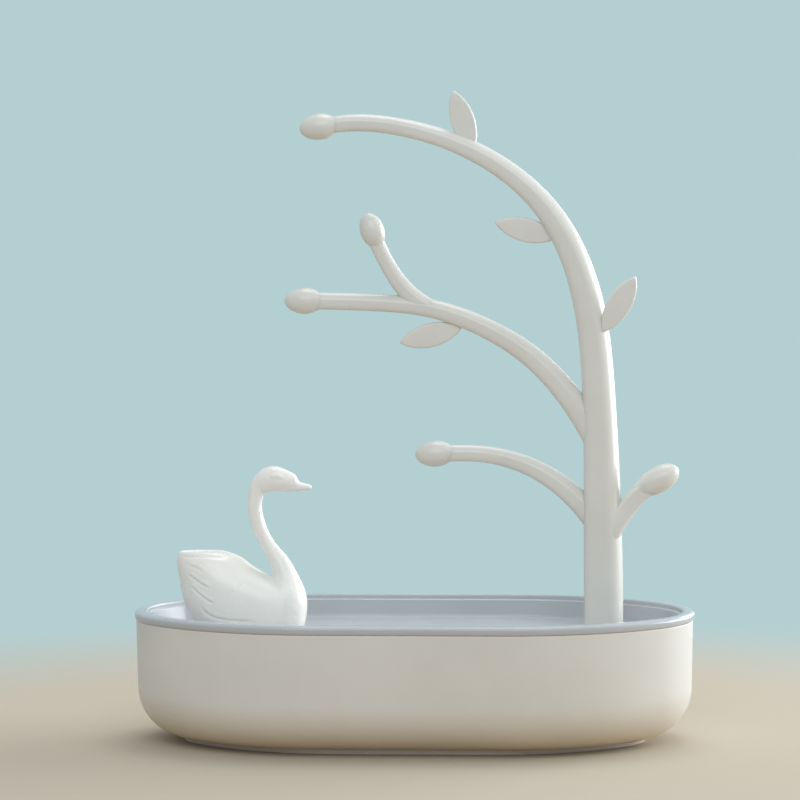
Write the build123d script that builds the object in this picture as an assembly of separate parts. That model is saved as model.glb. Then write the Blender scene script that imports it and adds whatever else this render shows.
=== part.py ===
from build123d import *
import os
from math import cos, radians, sqrt, tan

os.makedirs("parts", exist_ok=True)

# A desk jewelry stand of moulded plastic. A white oval storage box is closed by
# a grey lift-out tray. A white tree of boughs plugs into the tray at one end and
# a swan at the other. X runs along the oval, with the tree towards +X, Y is its
# depth, and Z is up. The origin is on the table, under the middle of the box.
# All lengths are in millimetres and all angles in degrees.

# Soft oval that the box and the tray share, seen from above
BODY_LENGTH = 218.0
BODY_DEPTH = 112.0
FLAT_SIDE = 70.6
SIDE_TURN = 45.0

# Storage box
BOX_TOP = 48.0
BOX_WALL = 2.4
BOX_FLOOR = 2.6
BOX_DRAFT = 1.2
BOX_BOTTOM_RADIUS = 19.2
BOX_LIP_BREAK = 0.4
# Sloped corner inside, which leaves at least the wall behind the rounded edge
CAVITY_SLOPE = (BOX_BOTTOM_RADIUS - BOX_WALL) * (2 - sqrt(2))

# Soft ring bonded under the box
RING_STAND = 2.2
RING_WIDTH = 5.0

# Lift-out tray
RIM_HEIGHT = 3.3
RIM_OVERHANG = 0.6
RIM_WIDTH = 4.6
RIM_ROUND = 1.4
RIM_INNER_BREAK = 0.7
LIP_SLOPE = 45.0
LEDGE_DROP = 1.8
TRAY_DEPTH = 9.3
TRAY_WALL = 2.2
TRAY_FLOOR = 2.2
TRAY_GAP = 0.4
TRAY_DRAFT = 2.0
TRAY_FLOOR_BREAK = 1.2
TRAY_UNDER_BREAK = 2.2

# Sockets under the tray's floor
SOCKET_WALL = 2.0
SOCKET_END = 1.6
SOCKET_FIT = 0.08
SOCKET_END_GAP = 0.6
RIB_THICKNESS = 1.6
RIB_REACH = 9.0
RIB_END = 1.0
RIB_SHARE = 0.7

# Trunk: its foot's distance from the end of the box, and the keyed spigot below it
TREE_FROM_END = 34.8
SPIGOT_LENGTH = 22.0
SPIGOT_WIDTH = 9.6
SPIGOT_DEPTH = 8.0
SPIGOT_ROUND = 1.6
SPIGOT_LEAD = 0.9

# Section of the trunk and the boughs, against the width: flat front and back,
# and arched sides
DEPTH_SHARE = 0.88
ARCH_SHARE = 0.17

# Centre lines. Each station is its run sideways and its rise, both from the start
# of the line, and the width there. The trunk runs on into the top bough.
TRUNK_STATIONS = (
    (0.0, 0.0, 15.1),
    (-0.4, 42.0, 14.9),
    (-2.0, 94.0, 12.8),
    (-7.5, 135.0, 11.6),
    (-22.6, 166.1, 9.4),
    (-50.0, 187.8, 7.8),
    (-78.5, 197.5, 6.9),
    (-101.5, 199.1, 6.7),
    (-111.0, 197.8, 6.5),
)
MIDDLE_HEIGHT = 73.0
MIDDLE_STATIONS = (
    (0.0, 0.0, 10.6),
    (-14.4, 22.3, 9.4),
    (-27.0, 35.2, 8.7),
    (-44.3, 46.1, 7.8),
    (-65.5, 53.9, 7.2),
    (-88.5, 56.4, 6.8),
    (-107.0, 57.0, 6.7),
    (-116.0, 57.1, 6.5),
)
FORK_REACH = 84.0
FORK_STATIONS = (
    (0.0, 0.0, 5.8),
    (-15.0, 9.2, 6.8),
    (-21.6, 19.0, 6.0),
    (-25.8, 27.8, 6.0),
    (-27.3, 31.8, 6.0),
)
LOWER_HEIGHT = 39.5
LOWER_STATIONS = (
    (0.0, 0.0, 9.6),
    (-16.6, 18.7, 8.1),
    (-29.8, 26.4, 7.2),
    (-46.0, 30.6, 6.5),
    (-60.0, 31.0, 6.5),
    (-65.8, 30.8, 6.5),
)
RIGHT_HEIGHT = 37.0
RIGHT_STATIONS = (
    (0.0, 0.0, 8.8),
    (7.6, 10.6, 7.8),
    (17.2, 20.0, 6.6),
    (22.8, 23.8, 6.5),
)
# Distance between the sections that shape a bough or the swan's neck, and the
# fewest spans between them
BOUGH_SPACING = 27.0
NECK_SPACING = 5.5
FEWEST_SPANS = 4

# Buds, as egg shapes on the ends of the boughs
BUD_LENGTH = 14.8
BUD_WIDTH = 10.2
FORK_BUD_LENGTH = 13.6
FORK_BUD_WIDTH = 9.4

# Level tenons that key the boughs into the trunk's flanks: how far above the
# bough's root they lie, and where they start and end from the trunk's centre line
TENON_HEIGHT = 5.6
TENON_DEPTH = 3.8
TENON_RISE = 12.5
TENON_START = 1.2
TENON_REACH = 10.8
TENON_FIT = 0.05
TENON_END_GAP = 0.4

# Leaves: four equal blades, each with its root in a slot
LEAF_LENGTH = 25.0
LEAF_WIDTH = 9.4
LEAF_THICKNESS = 1.8
LEAF_EDGE_BREAK = 0.45
LEAF_FIT = 0.05
# Reach along the bough's centre line, the root's offsets from that line sideways,
# forwards and upwards, and the direction in which the blade points
LEAF_TOP = (205.5, -0.9, 0.0, 0.0, 107.5)
LEAF_INNER = (159.5, -1.5, 0.0, -2.7, 166.0)
LEAF_OUTER = (118.0, 3.6, -4.0, 0.0, 59.5)
LEAF_UNDER = (73.5, -2.2, 0.0, -3.0, 193.5)

# Swan: its foot's distance from the other end of the box, and its body as level
# ovals. Each station is a height above the tray's floor, the oval's centre from the
# foot, and its half sizes.
SWAN_FROM_END = 46.0
SWAN_BODY = (
    (0.0, -0.2, 18.7, 10.5),
    (8.0, -2.8, 22.7, 13.2),
    (15.0, -5.2, 23.0, 13.4),
    (21.0, -10.1, 19.1, 12.4),
    (26.0, -15.0, 15.0, 10.6),
    (29.7, -17.3, 12.7, 8.8),
    (31.9, -19.7, 9.5, 6.8),
)
# Hollow between the folded wings
HOLLOW_BACK = -17.0
HOLLOW_HEIGHT = 33.8
HOLLOW_LENGTH = 11.0
HOLLOW_HALF_WIDTH = 4.6
HOLLOW_DEPTH = 7.0
# Breast, neck, head and beak as one swept line that starts forward of the swan's
# foot: run, rise, thickness in the picture plane and thickness across it
NECK_START = 10.8
SWAN_NECK = (
    (0.0, 0.0, 20.0, 19.0),
    (0.6, 10.0, 19.6, 21.0),
    (1.4, 18.0, 15.4, 17.0),
    (0.4, 25.5, 9.0, 10.0),
    (-4.1, 33.2, 5.7, 6.4),
    (-8.6, 41.8, 5.7, 5.9),
    (-10.1, 49.0, 5.6, 5.8),
    (-9.3, 55.6, 6.6, 6.6),
    (-3.6, 60.3, 9.9, 8.8),
    (2.8, 59.4, 7.8, 6.8),
    (7.1, 57.7, 3.6, 3.6),
    (12.2, 57.0, 1.5, 2.0),
)
SWAN_PEG_LENGTH = 8.0
SWAN_PEG_WIDTH = 10.0
SWAN_PEG_DEPTH = 6.0
SWAN_PEG_ROUND = 2.7

# Places that follow from the sizes above
TREE_X = BODY_LENGTH / 2 - TREE_FROM_END
SWAN_X = SWAN_FROM_END - BODY_LENGTH / 2
BOX_BOTTOM = RING_STAND
RIM_TOP = BOX_TOP + RIM_HEIGHT
TRAY_TOP = RIM_TOP - TRAY_DEPTH
TRAY_BOTTOM = TRAY_TOP - TRAY_FLOOR
TRAY_INSET = BOX_WALL + TRAY_GAP


def soft_oval(inset):
    """Flat oval of straight sides, wide side arcs and end arcs, moved inwards."""
    half_length = BODY_LENGTH / 2
    half_depth = BODY_DEPTH / 2
    half_flat = FLAT_SIDE / 2
    turn = radians(SIDE_TURN)
    spread = (half_length - half_depth - half_flat) / (tan(turn) + 1 - 1 / cos(turn))
    side_radius = half_depth + spread - inset
    end_radius = half_depth + spread - spread / cos(turn) - inset
    end_centre = half_flat + spread * tan(turn)
    side = half_depth - inset
    edges = []
    for way in (1, -1):
        start = 0 if way == 1 else 180
        edges += [
            Line((-way * half_flat, way * side), (way * half_flat, way * side)),
            CenterArc((way * half_flat, -way * spread), side_radius, start + 90, -SIDE_TURN),
            CenterArc((way * end_centre, 0), end_radius, start + 90 - SIDE_TURN, 2 * SIDE_TURN - 180),
            CenterArc((way * half_flat, way * spread), side_radius, start - 90 + SIDE_TURN, -SIDE_TURN),
        ]
    return make_face(edges)


def drafted_oval(inset, top, bottom, draft):
    """Solid oval that narrows downwards."""
    outline = Pos(0, 0, top) * soft_oval(inset)
    return extrude(outline, amount=top - bottom, dir=(0, 0, -1), taper=draft)


def low_edges(block):
    """Edges of a block's lowest face."""
    return block.faces().sort_by(Axis.Z)[0].edges()


def high_edges(block):
    """Edges of a block's highest face."""
    return block.faces().sort_by(Axis.Z)[-1].edges()


def straight_oval(inset, bottom, top):
    """Solid oval with upright walls."""
    return extrude(Pos(0, 0, bottom) * soft_oval(inset), amount=top - bottom)


def flat_inset(height, draft, radius):
    """Inset at which a drafted, rounded block turns into its flat bottom."""
    return height * tan(radians(draft)) + radius * tan(radians(45 - draft / 2))


def soft_bar(width, depth, corner, bottom, top):
    """Upright bar of soft rectangular section."""
    return extrude(Pos(0, 0, bottom) * RectangleRounded(width, depth, corner), amount=top - bottom)


def line_through(stations, start, upright=False):
    """Smooth centre line through stations that count from its start."""
    points = [start + Vector(station[0], 0, station[1]) for station in stations]
    if upright:
        return Spline(*points, tangents=(Vector(0, 0, 1), points[-1] - points[-2]))
    return Spline(*points)


def section_plane(line, mark):
    """Plane square to a centre line, with its X axis in the picture plane."""
    forward = line % mark
    return Plane(origin=line @ mark, x_dir=forward.cross(Vector(0, 1, 0)), z_dir=forward)


def sizes_at(mark, marks, stations):
    """Section sizes at a mark on the line, between the two stations beside it."""
    place = 0
    while place < len(marks) - 2 and mark > marks[place + 1]:
        place += 1
    share = (mark - marks[place]) / (marks[place + 1] - marks[place])
    before, after = stations[place][2:], stations[place + 1][2:]
    return [low + (high - low) * share for low, high in zip(before, after)]


def limb(line, stations, outline, spacing):
    """Loft along a centre line, through evenly spaced sections of an outline."""
    start = line @ 0
    marks = [line.param_at_point(start + Vector(run, 0, rise)) for run, rise, *_ in stations]
    count = max(FEWEST_SPANS, round(line.length / spacing))
    sections = []
    for step in range(count + 1):
        mark = step / count
        sections.append(section_plane(line, mark) * outline(*sizes_at(mark, marks, stations)))
    return loft(sections)


def bough_outline(width):
    """Barrel shape: the section of the trunk and of every bough."""
    half_depth = width * DEPTH_SHARE / 2
    crown = width / 2
    shoulder = crown - width * ARCH_SHARE
    return make_face(
        [
            Line((-shoulder, half_depth), (shoulder, half_depth)),
            ThreePointArc((shoulder, half_depth), (crown, 0), (shoulder, -half_depth)),
            Line((shoulder, -half_depth), (-shoulder, -half_depth)),
            ThreePointArc((-shoulder, -half_depth), (-crown, 0), (-shoulder, half_depth)),
        ]
    )


def neck_outline(thickness, across):
    """Oval section of the swan's breast, neck, head and beak."""
    return Ellipse(thickness / 2, across / 2)


def bud(line, length, width):
    """Egg on the end of a bough, in line with it."""
    egg = scale(Sphere(1), by=(width / 2, width / 2, length / 2))
    return section_plane(line, 1) * egg


def height_on(line, height):
    """Point of a rising centre line at a height, found by halving."""
    low, high = 0.0, 1.0
    for _ in range(40):
        middle = (low + high) / 2
        if (line @ middle).Z < height:
            low = middle
        else:
            high = middle
    return line @ low


def tenon(carrier, line, fit=0, end_gap=0):
    """Level key from inside the carrier into a bough, or the mortise that takes it."""
    side = 1 if (line % 0).X > 0 else -1
    centre = height_on(carrier, (line @ 0).Z + TENON_RISE)
    start = TENON_START - end_gap
    bar = Box(
        TENON_REACH - start,
        TENON_DEPTH + 2 * fit,
        TENON_HEIGHT + 2 * fit,
        align=(Align.MIN if side == 1 else Align.MAX, Align.CENTER, Align.CENTER),
    )
    return Pos(centre) * Pos(side * start, 0, 0) * bar


def leaf_blade(line, place, grow=0):
    """Pointed oval plate with its root on a centre line, grown all round for a slot."""
    reach, sideways, forwards, upwards, direction = place
    root = line.position_at(reach, position_mode=PositionMode.LENGTH)
    root += Vector(sideways, forwards, upwards)
    half_width = LEAF_WIDTH / 2 + grow
    tip = LEAF_LENGTH + grow
    outline = make_face(
        [
            ThreePointArc((-grow, 0), (LEAF_LENGTH / 2, half_width), (tip, 0)),
            ThreePointArc((tip, 0), (LEAF_LENGTH / 2, -half_width), (-grow, 0)),
        ]
    )
    blade = extrude(outline, amount=LEAF_THICKNESS / 2 + grow, both=True)
    level = Plane(origin=root, x_dir=Vector(1, 0, 0), z_dir=Vector(0, -1, 0))
    return level * Rot(0, 0, direction) * blade


def leaf(line, place):
    """Leaf: a pointed oval plate with softened edges."""
    blade = leaf_blade(line, place)
    return chamfer(blade.edges().filter_by(GeomType.CIRCLE), LEAF_EDGE_BREAK)


def write(shape, name):
    """Write one piece to its own file."""
    export_step(shape, f"parts/{name}.step")


def socket(place, width, depth, corner, length):
    """Boss with cross ribs under the tray's floor, and the hole that goes into it."""
    hole_bottom = TRAY_TOP - length - SOCKET_END_GAP
    boss_bottom = hole_bottom - SOCKET_END
    wall = SOCKET_WALL + SOCKET_FIT
    boss = soft_bar(width + 2 * wall, depth + 2 * wall, corner + wall, boss_bottom, TRAY_TOP)
    rib_reach = width / 2 + wall
    rib_bottom = TRAY_BOTTOM - RIB_SHARE * (TRAY_BOTTOM - boss_bottom)
    rib = make_face(
        Polyline(
            (0, TRAY_TOP),
            (rib_reach + RIB_REACH, TRAY_TOP),
            (rib_reach + RIB_REACH, TRAY_BOTTOM - RIB_END),
            (rib_reach, rib_bottom),
            (0, rib_bottom),
            close=True,
        )
    )
    rib = extrude(Plane.XZ * rib, amount=RIB_THICKNESS / 2, both=True)
    ribs = rib + Rot(0, 0, 90) * rib + Rot(0, 0, 180) * rib + Rot(0, 0, 270) * rib
    ribs -= Pos(0, 0, TRAY_BOTTOM + RIB_THICKNESS) * Box(
        BODY_DEPTH, BODY_DEPTH, TRAY_TOP, align=(Align.CENTER, Align.CENTER, Align.MIN)
    )
    hole = soft_bar(
        width + 2 * SOCKET_FIT, depth + 2 * SOCKET_FIT, corner + SOCKET_FIT, hole_bottom, RIM_TOP
    )
    return Pos(place, 0, 0) * (boss + ribs), Pos(place, 0, 0) * hole


def coped(form, carrier_form, carrier, line):
    """Bough cut to its carrier's flank, with the tenon that enters the carrier."""
    return form - carrier_form + tenon(carrier, line)


# Storage box: drafted shell with a deep rounded bottom edge
storage_box = drafted_oval(0, BOX_TOP, BOX_BOTTOM, BOX_DRAFT)
storage_box = fillet(low_edges(storage_box), BOX_BOTTOM_RADIUS)
storage_box = chamfer(high_edges(storage_box), BOX_LIP_BREAK)
cavity = drafted_oval(BOX_WALL, BOX_TOP, BOX_BOTTOM + BOX_FLOOR, BOX_DRAFT)
storage_box -= chamfer(low_edges(cavity), CAVITY_SLOPE)

# Foot ring: follows the edge of the box's flat foot
ring_inset = flat_inset(BOX_TOP - BOX_BOTTOM, BOX_DRAFT, BOX_BOTTOM_RADIUS)
foot_ring = straight_oval(ring_inset, 0, BOX_BOTTOM)
foot_ring -= straight_oval(ring_inset + RING_WIDTH, 0, BOX_BOTTOM)

# Tray: rim over the box's edge, pan inside the box, recess below a small ledge
rim = straight_oval(-RIM_OVERHANG, BOX_TOP, RIM_TOP)
rim = fillet(high_edges(rim), RIM_ROUND)
pan = drafted_oval(TRAY_INSET, BOX_TOP, TRAY_BOTTOM, TRAY_DRAFT)
pan = chamfer(low_edges(pan), TRAY_UNDER_BREAK)
ledge_height = RIM_TOP - LEDGE_DROP
throat_inset = RIM_WIDTH - RIM_OVERHANG
throat = straight_oval(throat_inset, ledge_height, RIM_TOP)
throat += drafted_oval(
    throat_inset - RIM_INNER_BREAK, RIM_TOP, RIM_TOP - RIM_INNER_BREAK, LIP_SLOPE
)
recess = drafted_oval(TRAY_INSET + TRAY_WALL, ledge_height, TRAY_TOP, TRAY_DRAFT)
recess = chamfer(low_edges(recess), TRAY_FLOOR_BREAK)
lid_tray = rim + pan - throat - recess

# Sockets under the tray for the tree's spigot and the swan's peg
for place, width, depth, corner, length in (
    (TREE_X, SPIGOT_WIDTH, SPIGOT_DEPTH, SPIGOT_ROUND, SPIGOT_LENGTH),
    (SWAN_X, SWAN_PEG_WIDTH, SWAN_PEG_DEPTH, SWAN_PEG_ROUND, SWAN_PEG_LENGTH),
):
    boss, hole = socket(place, width, depth, corner, length)
    lid_tray = lid_tray + boss - hole

# Centre lines of the tree, each bough's root on the line that carries it
foot = Vector(TREE_X, 0, TRAY_TOP)
trunk_line = line_through(TRUNK_STATIONS, foot, upright=True)
middle_line = line_through(MIDDLE_STATIONS, height_on(trunk_line, TRAY_TOP + MIDDLE_HEIGHT))
fork_root = middle_line.position_at(FORK_REACH, position_mode=PositionMode.LENGTH)
fork_line = line_through(FORK_STATIONS, fork_root)
lower_line = line_through(LOWER_STATIONS, height_on(trunk_line, TRAY_TOP + LOWER_HEIGHT))
right_line = line_through(RIGHT_STATIONS, height_on(trunk_line, TRAY_TOP + RIGHT_HEIGHT))

# Trunk with the top bough: keyed spigot below, mortises for the other boughs
trunk_form = limb(trunk_line, TRUNK_STATIONS, bough_outline, BOUGH_SPACING)
spigot = soft_bar(SPIGOT_WIDTH, SPIGOT_DEPTH, SPIGOT_ROUND, TRAY_TOP - SPIGOT_LENGTH, TRAY_TOP)
spigot = chamfer(low_edges(spigot), SPIGOT_LEAD)
trunk = trunk_form + bud(trunk_line, BUD_LENGTH, BUD_WIDTH) + Pos(TREE_X, 0, 0) * spigot
for line in (middle_line, lower_line, right_line):
    trunk -= tenon(trunk_line, line, TENON_FIT, TENON_END_GAP)

# The other boughs, each coped to the trunk's flank and keyed by its tenon
middle_form = limb(middle_line, MIDDLE_STATIONS, bough_outline, BOUGH_SPACING)
middle_form += limb(fork_line, FORK_STATIONS, bough_outline, BOUGH_SPACING)
middle_form += bud(middle_line, BUD_LENGTH, BUD_WIDTH)
middle_form += bud(fork_line, FORK_BUD_LENGTH, FORK_BUD_WIDTH)
middle_bough = coped(middle_form, trunk_form, trunk_line, middle_line)
lower_form = limb(lower_line, LOWER_STATIONS, bough_outline, BOUGH_SPACING)
lower_form += bud(lower_line, BUD_LENGTH, BUD_WIDTH)
lower_bough = coped(lower_form, trunk_form, trunk_line, lower_line)
right_form = limb(right_line, RIGHT_STATIONS, bough_outline, BOUGH_SPACING)
right_form += bud(right_line, BUD_LENGTH, BUD_WIDTH)
right_twig = coped(right_form, trunk_form, trunk_line, right_line)

# Leaves, each with a slot in its bough that takes its root
leaf_top = leaf(trunk_line, LEAF_TOP)
leaf_inner = leaf(trunk_line, LEAF_INNER)
leaf_outer = leaf(trunk_line, LEAF_OUTER)
leaf_under = leaf(middle_line, LEAF_UNDER)
for place in (LEAF_TOP, LEAF_INNER, LEAF_OUTER):
    trunk -= leaf_blade(trunk_line, place, LEAF_FIT)
middle_bough -= leaf_blade(middle_line, LEAF_UNDER, LEAF_FIT)

# Swan: body with a hollow between the wings, breast and neck, and a keyed peg
perch = Vector(SWAN_X, 0, TRAY_TOP)
swan = loft(
    [
        Pos(perch) * Pos(centre, 0, height) * Ellipse(half_length, half_depth)
        for height, centre, half_length, half_depth in SWAN_BODY
    ]
)
hollow = scale(Sphere(1), by=(HOLLOW_LENGTH, HOLLOW_HALF_WIDTH, HOLLOW_DEPTH))
swan -= Pos(perch) * Pos(HOLLOW_BACK, 0, HOLLOW_HEIGHT) * hollow
neck_line = line_through(SWAN_NECK, perch + Vector(NECK_START, 0, 0), upright=True)
swan += limb(neck_line, SWAN_NECK, neck_outline, NECK_SPACING)
swan += Pos(SWAN_X, 0, 0) * soft_bar(
    SWAN_PEG_WIDTH, SWAN_PEG_DEPTH, SWAN_PEG_ROUND, TRAY_TOP - SWAN_PEG_LENGTH, TRAY_TOP
)
swan_near_half = split(swan, bisect_by=Plane.XZ, keep=Keep.TOP)
swan_far_half = split(swan, bisect_by=Plane.XZ, keep=Keep.BOTTOM)

write(storage_box, "storage_box")
write(foot_ring, "foot_ring")
write(lid_tray, "lid_tray")
write(trunk, "trunk")
write(middle_bough, "middle_bough")
write(lower_bough, "lower_bough")
write(right_twig, "right_twig")
write(leaf_top, "leaf_top")
write(leaf_inner, "leaf_inner")
write(leaf_outer, "leaf_outer")
write(leaf_under, "leaf_under")
write(swan_near_half, "swan_near_half")
write(swan_far_half, "swan_far_half")
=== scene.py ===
import logging
import math
from collections.abc import Sequence
from dataclasses import dataclass, field
from enum import Enum

import bpy
import numpy as np
from mathutils import Matrix, Vector


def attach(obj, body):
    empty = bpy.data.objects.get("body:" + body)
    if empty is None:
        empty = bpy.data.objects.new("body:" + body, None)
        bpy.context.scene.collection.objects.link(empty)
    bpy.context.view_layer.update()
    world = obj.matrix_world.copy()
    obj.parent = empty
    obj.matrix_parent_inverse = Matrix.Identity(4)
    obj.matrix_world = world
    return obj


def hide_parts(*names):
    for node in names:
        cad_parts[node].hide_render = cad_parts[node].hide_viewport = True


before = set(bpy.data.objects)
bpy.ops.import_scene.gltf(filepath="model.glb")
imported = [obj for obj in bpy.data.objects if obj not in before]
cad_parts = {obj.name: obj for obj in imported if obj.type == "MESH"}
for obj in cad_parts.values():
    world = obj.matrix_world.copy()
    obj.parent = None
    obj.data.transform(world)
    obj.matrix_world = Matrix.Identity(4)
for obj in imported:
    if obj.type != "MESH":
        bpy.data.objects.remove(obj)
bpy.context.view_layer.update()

# Lengths are in millimetres in the CAD model's frame, and metres once a mesh is made.
MM = 0.001
# Angles in degrees above which an edge stays sharp: moulded corners, and a joined skin
CREASE = 40.0
NO_CREASE = 180.0
# How far joined forms reach into each other
OVERLAP = 1.0
# Angle by which the last ring of a round tip stands short of it
NEAR_TIP = 0.03
# Points of an outline that are nearer to each other than this are one
SAME_SPOT = 0.01
# Heights where the pieces meet: the tray's rim on the box, and the feet on its floor
SEAM = 48.0
FLOOR_TOP = 42.0
# The way from the front to the back
ACROSS = np.array((0.0, 1.0, 0.0))
LOG = logging.getLogger("jewelry_tree")

Station = tuple[float, ...]
Colour = tuple[float, float, float, float]


class Body(Enum):
    """Bodies of the CAD model that a piece can ride on."""

    BOX = "box"
    TRAY = "tray"
    TREE = "tree"
    SWAN = "swan"


class Slot(Enum):
    """Material slots of the record, one for each kind of finish."""

    GLOSS_WHITE = "gloss_white"
    SATIN_WHITE = "satin_white"
    GLOSS_GREY = "gloss_grey"
    SOFT_GREY = "soft_grey"


class Merge(Enum):
    """Ways to work a closed form into an object."""

    JOIN = "UNION"
    CUT = "DIFFERENCE"


def linear(shade: str) -> Colour:
    """Turns an sRGB hex value to a linear colour.

    Args:
        shade: the colour as "#rrggbb".

    Returns:
        Red, green, blue and alpha, linear.
    """
    channels = [int(shade[place : place + 2], 16) / 255 for place in (1, 3, 5)]
    bent = [c / 12.92 if c <= 0.04045 else ((c + 0.055) / 1.055) ** 2.4 for c in channels]
    return (bent[0], bent[1], bent[2], 1.0)


def blank_tree(owner: bpy.types.Material | bpy.types.World) -> bpy.types.NodeTree:
    """Empties the node tree of a material or a world.

    Args:
        owner: the material or the world.

    Returns:
        Its node tree, with no nodes.
    """
    owner.use_nodes = True
    owner.node_tree.nodes.clear()
    return owner.node_tree


def add_node(
    tree: bpy.types.NodeTree,
    kind: str,
    values: dict[str, object] | None = None,
    links: dict[str | int, bpy.types.NodeSocket] | None = None,
    **options: object,
) -> bpy.types.Node:
    """Adds a node with its settings and links.

    Args:
        tree: the node tree that gets the node.
        kind: the node's type name.
        values: input sockets by name, and the value of each.
        links: input sockets by name or number, and the output that feeds each.
        options: the node's own properties.

    Returns:
        The new node.
    """
    node = tree.nodes.new(kind)
    for name, option in options.items():
        setattr(node, name, option)
    for name, value in (values or {}).items():
        node.inputs[name].default_value = value
    for name, source in (links or {}).items():
        tree.links.new(source, node.inputs[name])
    return node


@dataclass(frozen=True)
class MouldedPlastic:
    """An injection moulded plastic, as its moulder would specify it. The defaults are ABS.

    Attributes:
        name: common name and surface.
        shade: sRGB hex of the plastic.
        flow_shade: sRGB hex where the melt flowed denser.
        roughness: mean roughness of the surface.
        roughness_spread: how far handling changes the roughness.
        ior: index of refraction.
        glow: share of the light that enters the plastic and leaves beside the spot.
        sink_mm: distance between the soft sink waves of a moulded wall.
        sink_depth_mm: how deep those waves are.
        grain_mm: grain of the tool's surface.
        grain_depth_mm: how deep the grain is.
    """

    name: str
    shade: str
    flow_shade: str
    roughness: float
    roughness_spread: float = 0.03
    ior: float = 1.53
    glow: float = 0.12
    sink_mm: float = 14.0
    sink_depth_mm: float = 0.012
    grain_mm: float = 0.7
    grain_depth_mm: float = 0.0006

    def build(self) -> bpy.types.Material:
        """Makes the node material.

        Returns:
            The material, named for the plastic.
        """
        material = bpy.data.materials.new(self.name)
        tree = blank_tree(material)
        place = add_node(tree, "ShaderNodeTexCoord").outputs["Object"]
        # The melt's streaks are wider than the sink waves, and the marks of handling finer
        flow, handling, sink, grain = (
            add_node(
                tree,
                "ShaderNodeTexNoise",
                {"Scale": 1 / (size * MM), "Detail": detail, "Roughness": octave_share},
                {"Vector": place},
            ).outputs["Fac"]
            for size, detail, octave_share in (
                (2.2 * self.sink_mm, 3.0, 0.55),
                (0.6 * self.sink_mm, 5.0, 0.6),
                (self.sink_mm, 1.0, 0.5),
                (self.grain_mm, 2.0, 0.5),
            )
        )
        smooth, rough = (self.roughness + way * self.roughness_spread for way in (-1, 1))
        density, gloss = (
            add_node(
                tree,
                "ShaderNodeMapRange",
                dict(zip(("From Min", "From Max", "To Min", "To Max"), limits)),
                {"Value": noise},
            ).outputs["Result"]
            for noise, limits in (
                (flow, (0.4, 0.7, 0.0, 1.0)),
                (handling, (0.35, 0.65, smooth, rough)),
            )
        )
        colour = add_node(
            tree,
            "ShaderNodeMix",
            {"A": linear(self.shade), "B": linear(self.flow_shade)},
            {"Factor": density},
            data_type="RGBA",
        )
        waves = add_node(
            tree,
            "ShaderNodeBump",
            {"Strength": 1.0, "Distance": self.sink_depth_mm * MM},
            {"Height": sink},
        )
        surface = add_node(
            tree,
            "ShaderNodeBump",
            {"Strength": 1.0, "Distance": self.grain_depth_mm * MM},
            {"Height": grain, "Normal": waves.outputs["Normal"]},
        )
        # Light goes about a millimetre deep, and red light furthest
        shader = add_node(
            tree,
            "ShaderNodeBsdfPrincipled",
            {
                "IOR": self.ior,
                "Subsurface Weight": self.glow,
                "Subsurface Radius": (1.0, 0.85, 0.7),
                "Subsurface Scale": 1.2 * MM,
            },
            {
                "Base Color": colour.outputs["Result"],
                "Roughness": gloss,
                "Normal": surface.outputs["Normal"],
            },
        )
        add_node(tree, "ShaderNodeOutputMaterial", links={"Surface": shader.outputs["BSDF"]})
        return material


# ABS from a fine-sanded tool: warm white, with soft reflections that swim a little
GLOSSY_ABS = MouldedPlastic("glossy_warm_white_abs", "#dedcd5", "#d9d7cf", 0.24)
# ABS for the figure: the tree's white with its shade painted lighter, as painted light for the
# brighter light that falls on the figure; broader, softer reflections
PAINTED_LIGHTER_ABS = MouldedPlastic("soft_gloss_white_abs_painted_lighter", "#f3f1ea", "#eeece5", 0.26)
# Polypropylene from a spark-eroded tool: satin, the grain drawn coarse enough to show
SATIN_POLYPROPYLENE = MouldedPlastic(
    "satin_white_polypropylene", "#dbdbd7", "#d5d5d0", 0.4, roughness_spread=0.05, ior=1.49,
    glow=0.1, sink_mm=22.0, sink_depth_mm=0.015, grain_mm=0.45, grain_depth_mm=0.0035,
)
# ABS tinted in the melt: blue-grey, with a polished upper side that mirrors the room
GLOSSY_GREY_ABS = MouldedPlastic(
    "glossy_blue_grey_abs", "#b9bec1", "#b4b9bc", 0.17, glow=0.05, sink_mm=18.0, grain_mm=0.6
)
# Thermoplastic elastomer, moulded matt: a dull lilac-grey edge that grips the table
SOFT_ELASTOMER = MouldedPlastic(
    "matt_grey_elastomer", "#d8d0cc", "#cfc7c3", 0.65, roughness_spread=0.06, ior=1.5,
    glow=0.05, sink_mm=12.0, sink_depth_mm=0.01, grain_mm=0.3, grain_depth_mm=0.006,
)


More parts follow.
